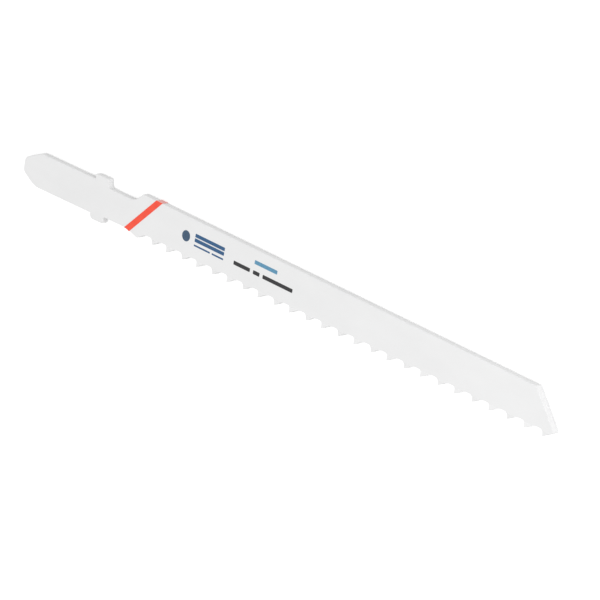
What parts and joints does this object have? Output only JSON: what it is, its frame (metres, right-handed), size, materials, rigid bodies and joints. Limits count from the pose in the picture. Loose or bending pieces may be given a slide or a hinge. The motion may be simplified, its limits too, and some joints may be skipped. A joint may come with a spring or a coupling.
{
  "type": "jigsaw blade",
  "caption": "Flat jigsaw blade with a two-lugged T shank, side-set teeth along one edge, a slanted cut tip and a painted colour band.",
  "frame": {"origin": "on the shank's axis, level with the side of the lugs that faces the teeth, on the blade's lower face", "axes": "+X from the shank towards the tip along the back edge, -Y the way the teeth point, +Z out of the face that is looked at"},
  "size_m": [0.1318, 0.0088, 0.0016],
  "materials": {
    "coated_steel": "satin white coat on hardened steel",
    "band_paint": "satin red paint"
  },
  "bodies": {
    "root": {"blade": "coated_steel", "colour_band": "band_paint"}
  },
  "joints": []
}
